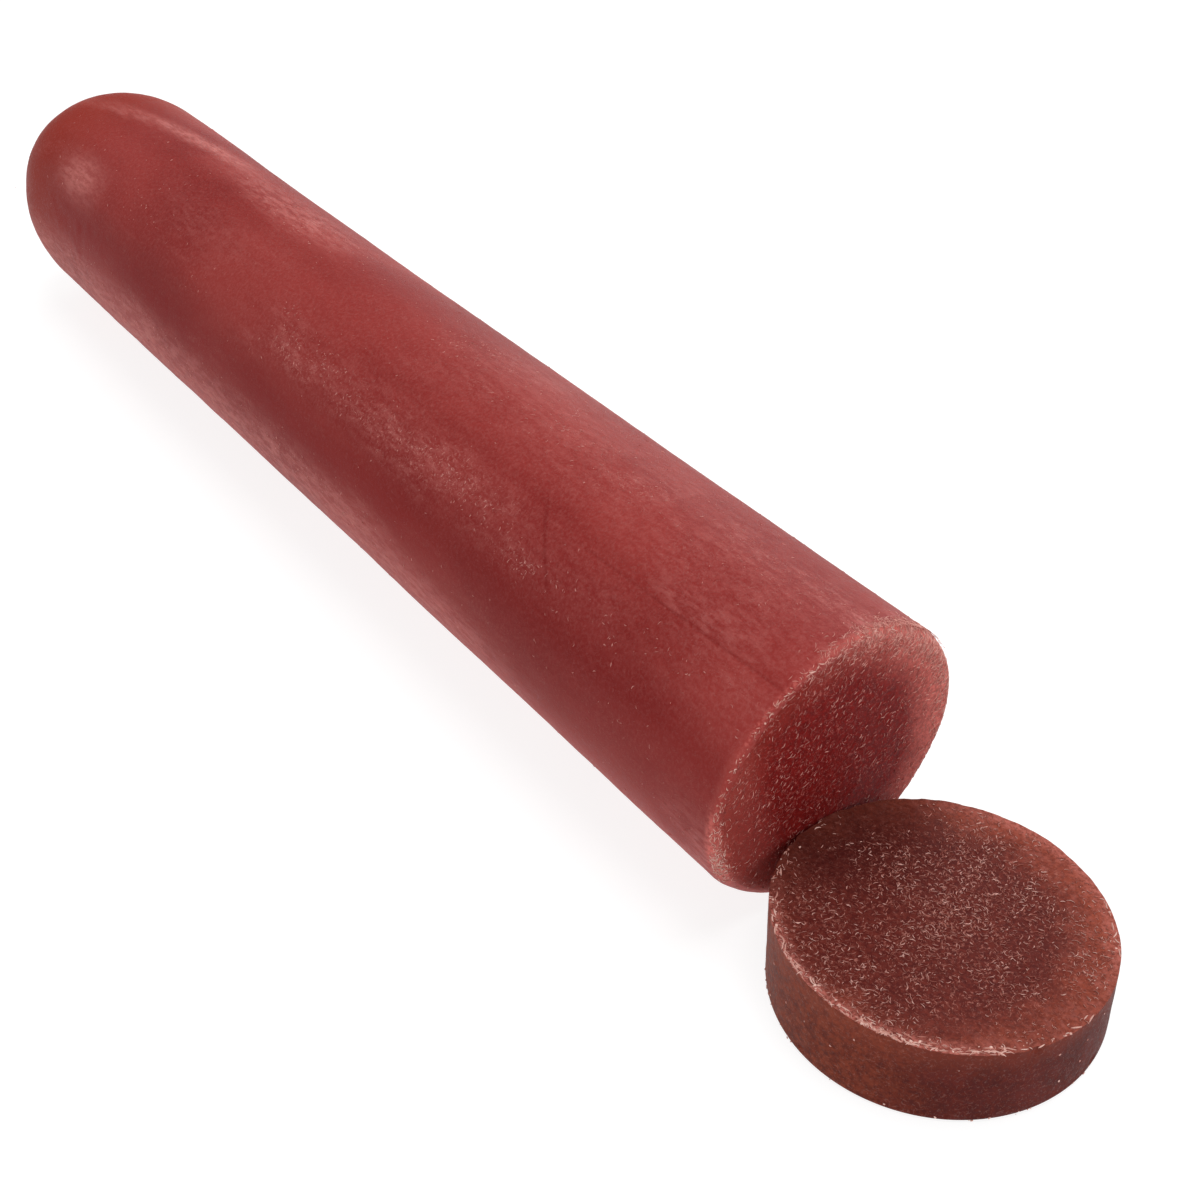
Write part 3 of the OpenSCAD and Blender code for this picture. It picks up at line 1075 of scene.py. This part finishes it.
def cap_material():
    """The cap's wax and its granular striker pad."""
    s = Shader("cap_wax")
    plain = s.place()
    fine = s.noise(plain, 3.0, 4, 0.72)
    lump = s.noise(plain, 0.35, 4, 0.6)
    grain = s.noise(plain, 1.6, 4, 0.7)
    marks = s.larger(strokes(s, plain, 2.1, (5, 17, 29)), strokes(s, plain, 3.0, (9, 2, 14)))
    # Distances are from the middle of the cap's outline.
    split = s.add("SeparateXYZ", in0=plain)
    x = s.minus(split.outputs[0], (CAP_X + CAP_SHIFT * math.cos(CAP_SHIFT_TURN)) / MM)
    y = s.minus(split.outputs[1], CAP_SHIFT * math.sin(CAP_SHIFT_TURN) / MM)
    top = cap_top_colour(s, x, y, fine, lump, grain, marks)
    side = cap_side_colour(s, x, y, split.outputs[2], fine, lump, grain, marks)
    upward = s.add("SeparateXYZ", in0=s.add("NewGeometry").outputs["True Normal"]).outputs[2]
    s.set(Base_Color=s.mix(s.ramp(upward, 0.45, 0.75), side, top))
    s.set(Roughness=s.ramp(fine, 0.3, 0.7, 0.45, 0.7), Specular_IOR_Level=0.08)
    height = s.plus(fine, s.times(marks, 0.4))
    s.set(Normal=s.bump(height, 0.06 * MM, s.ramp(upward, 0.4, 0.8, 0.35, 0.8)))
    return s.material


def fleck_material(name, dark, pale, rare):
    """Shavings and crumbs, each its own shade: the higher rare is, the fewer are pale."""
    s = Shader(name)
    island = s.add("NewGeometry").outputs["Random Per Island"]
    shade = s.mix(s.math("POWER", island, rare), colour(*dark), colour(*pale))
    s.set(Base_Color=shade, Roughness=0.55, Specular_IOR_Level=0.25)
    return s.material


def plain_material(name, dark, light, scale, rough, stretch=(1, 1, 1)):
    """A dull grained material for the pieces inside."""
    s = Shader(name)
    grain = s.noise(s.place(stretch), scale, 5, 0.65)
    shade = s.mix(s.ramp(grain, 0.35, 0.7), colour(*dark), colour(*light))
    s.set(Base_Color=shade, Roughness=rough)
    s.set(Normal=s.bump(grain, 0.05 * MM, 0.6))
    return s.material


# ---- camera and lights
VIEW_AZIMUTH = math.radians(55.56)
VIEW_ELEVATION = math.radians(35.98)
VIEW_ROLL = math.radians(-1.165)
VIEW_DISTANCE = 14.14 * STICK_R
VIEW_LENS_MM = 54.12
FLOOR_R = 12
# Soft lamps: name, place, aim, size and power
LAMPS = [
    ("behind", (-0.45, 0.55, 0.30), (-0.03, 0, 0.01), 0.35, 1.3),
    ("above", (0.05, 0.10, 0.75), (0, 0, 0), 0.5, 3.2),
    ("front", (0.55, 0.05, 0.35), (0.07, 0, 0.01), 0.4, 0.8),
]


def camera():
    """The photograph's angle: from ahead of the igniter end, on the -Y side."""
    aim = Vector((FACE_X - 3.406 * STICK_R, 0.6165 * STICK_R, AXIS_Z - STICK_R))
    ahead = Vector((
        -math.sin(VIEW_AZIMUTH) * math.cos(VIEW_ELEVATION),
        math.cos(VIEW_AZIMUTH) * math.cos(VIEW_ELEVATION),
        -math.sin(VIEW_ELEVATION),
    ))
    right = ahead.cross(Vector((0, 0, 1))).normalized()
    above = right.cross(ahead)
    x_axis = math.cos(VIEW_ROLL) * right + math.sin(VIEW_ROLL) * above
    y_axis = -math.sin(VIEW_ROLL) * right + math.cos(VIEW_ROLL) * above
    place = aim - ahead * VIEW_DISTANCE
    turn = Matrix((x_axis, y_axis, -ahead)).transposed().to_4x4()
    data = bpy.data.cameras.new("camera")
    data.lens = VIEW_LENS_MM
    data.sensor_width = 36
    data.clip_start = 0.005
    data.clip_end = 20
    eye = bpy.data.objects.new("camera", data)
    eye.matrix_world = Matrix.Translation(place) @ turn
    bpy.context.scene.collection.objects.link(eye)
    bpy.context.scene.camera = eye


def area_light(name, place, aim, size, power):
    data = bpy.data.lights.new(name, "AREA")
    data.shape = "DISK"
    data.size = size
    data.energy = power
    lamp = bpy.data.objects.new(name, data)
    lamp.location = place
    lamp.rotation_euler = (Vector(aim) - Vector(place)).to_track_quat("-Z", "Y").to_euler()
    bpy.context.scene.collection.objects.link(lamp)


def studio():
    """Even white light, with soft lamps behind, above and in front."""
    world = bpy.data.worlds.new("studio")
    world.use_nodes = True
    background = world.node_tree.nodes["Background"]
    background.inputs[0].default_value = (1.0, 1, 1, 1)
    background.inputs[1].default_value = 0.34
    bpy.context.scene.world = world
    for lamp in LAMPS:
        area_light(*lamp)
    bpy.context.scene.view_settings.view_transform = "Standard"


def pale_floor():
    """A wide round floor, just under the surface that the set lies on."""
    corners = np.arange(96) / 96 * 2 * math.pi
    points = FLOOR_R * xyz(np.cos(corners), np.sin(corners), 0)
    ground = mesh_object("floor", points, [range(96)])
    s = Shader("floor_white")
    speckle = s.noise(s.place(), 0.2, 3)
    s.set(Base_Color=s.mix(speckle, (0.21, 0.21, 0.21, 1), (0.23, 0.23, 0.23, 1)), Roughness=0.6)
    s.set(Emission_Color=(1, 1, 1, 1), Emission_Strength=0.86)
    ground.data.materials.append(s.material)
    ground.location.z = -0.02 * MM
    ground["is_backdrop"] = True


# ---- make
camera()
studio()
pale_floor()

skin = skin_material()
face = end_material()
cap_wax = cap_material()
shavings = fleck_material("shavings", (152, 82, 70), (244, 194, 182), 2.8)
combed = fleck_material("combed_shavings", (146, 54, 49), (252, 188, 176), 2.0)
specks = fleck_material("skin_specks", (164, 78, 72), (226, 160, 150), 1.5)
broken = fleck_material("broken_wax", (190, 120, 106), (236, 196, 184), 1)
matted = fleck_material("matted_fibres", (160, 76, 68), (240, 178, 166), 1)

dress(wax_coat(), "flare", "wax", skin, "wax_coat")
dress(igniter(), "flare", "igniter", face, "igniter")
dress(skin_flecks(), "flare", "wax", specks)
dress(igniter_flecks(), "flare", "igniter", combed)
dress(rim_crumbs(), "flare", "wax", broken)
dress(rim_fibres(), "flare", "wax", matted)
dress(cap_coat(), "cap", "cap_wax", cap_wax, "cap_coat")
dress(striker_pad(), "cap", "striker", cap_wax, "striker_pad")
dress(striker_flecks(), "cap", "striker", shavings)
dress(edge_crumbs(), "cap", "cap_wax", broken)
dress(low_crumbs(), "cap", "cap_wax", broken)

kraft = plain_material("kraft_paper", (150, 104, 66), (186, 140, 96), 1.2, 0.85, (0.3, 1, 1))
wood = plain_material("plug_wood", (170, 128, 82), (212, 174, 124), 0.8, 0.7, (0.15, 1, 1))
card = plain_material("card", (138, 122, 98), (172, 156, 128), 1.6, 0.9)
charge = plain_material("charge", (140, 88, 84), (176, 126, 118), 2.0, 0.85)
first_fire = plain_material("first_fire", (78, 62, 58), (112, 94, 86), 2.2, 0.85)
INSIDE = {
    "casing_tube": kraft, "cap_ring": kraft,
    "base_plug": wood, "striker_backing": wood,
    "base_wad": card, "cap_board": card,
    "charge_1": charge, "charge_2": charge, "charge_3": charge, "charge_4": charge,
    "charge_5": charge, "first_fire": first_fire,
}
for node_name, material in INSIDE.items():
    node_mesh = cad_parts[node_name].data
    node_mesh.materials.clear()
    node_mesh.materials.append(material)

sizes = {"cad": CAD_BOX, "visual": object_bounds()}
sizes = {name: [[float(v) for v in corner] for corner in pair] for name, pair in sizes.items()}
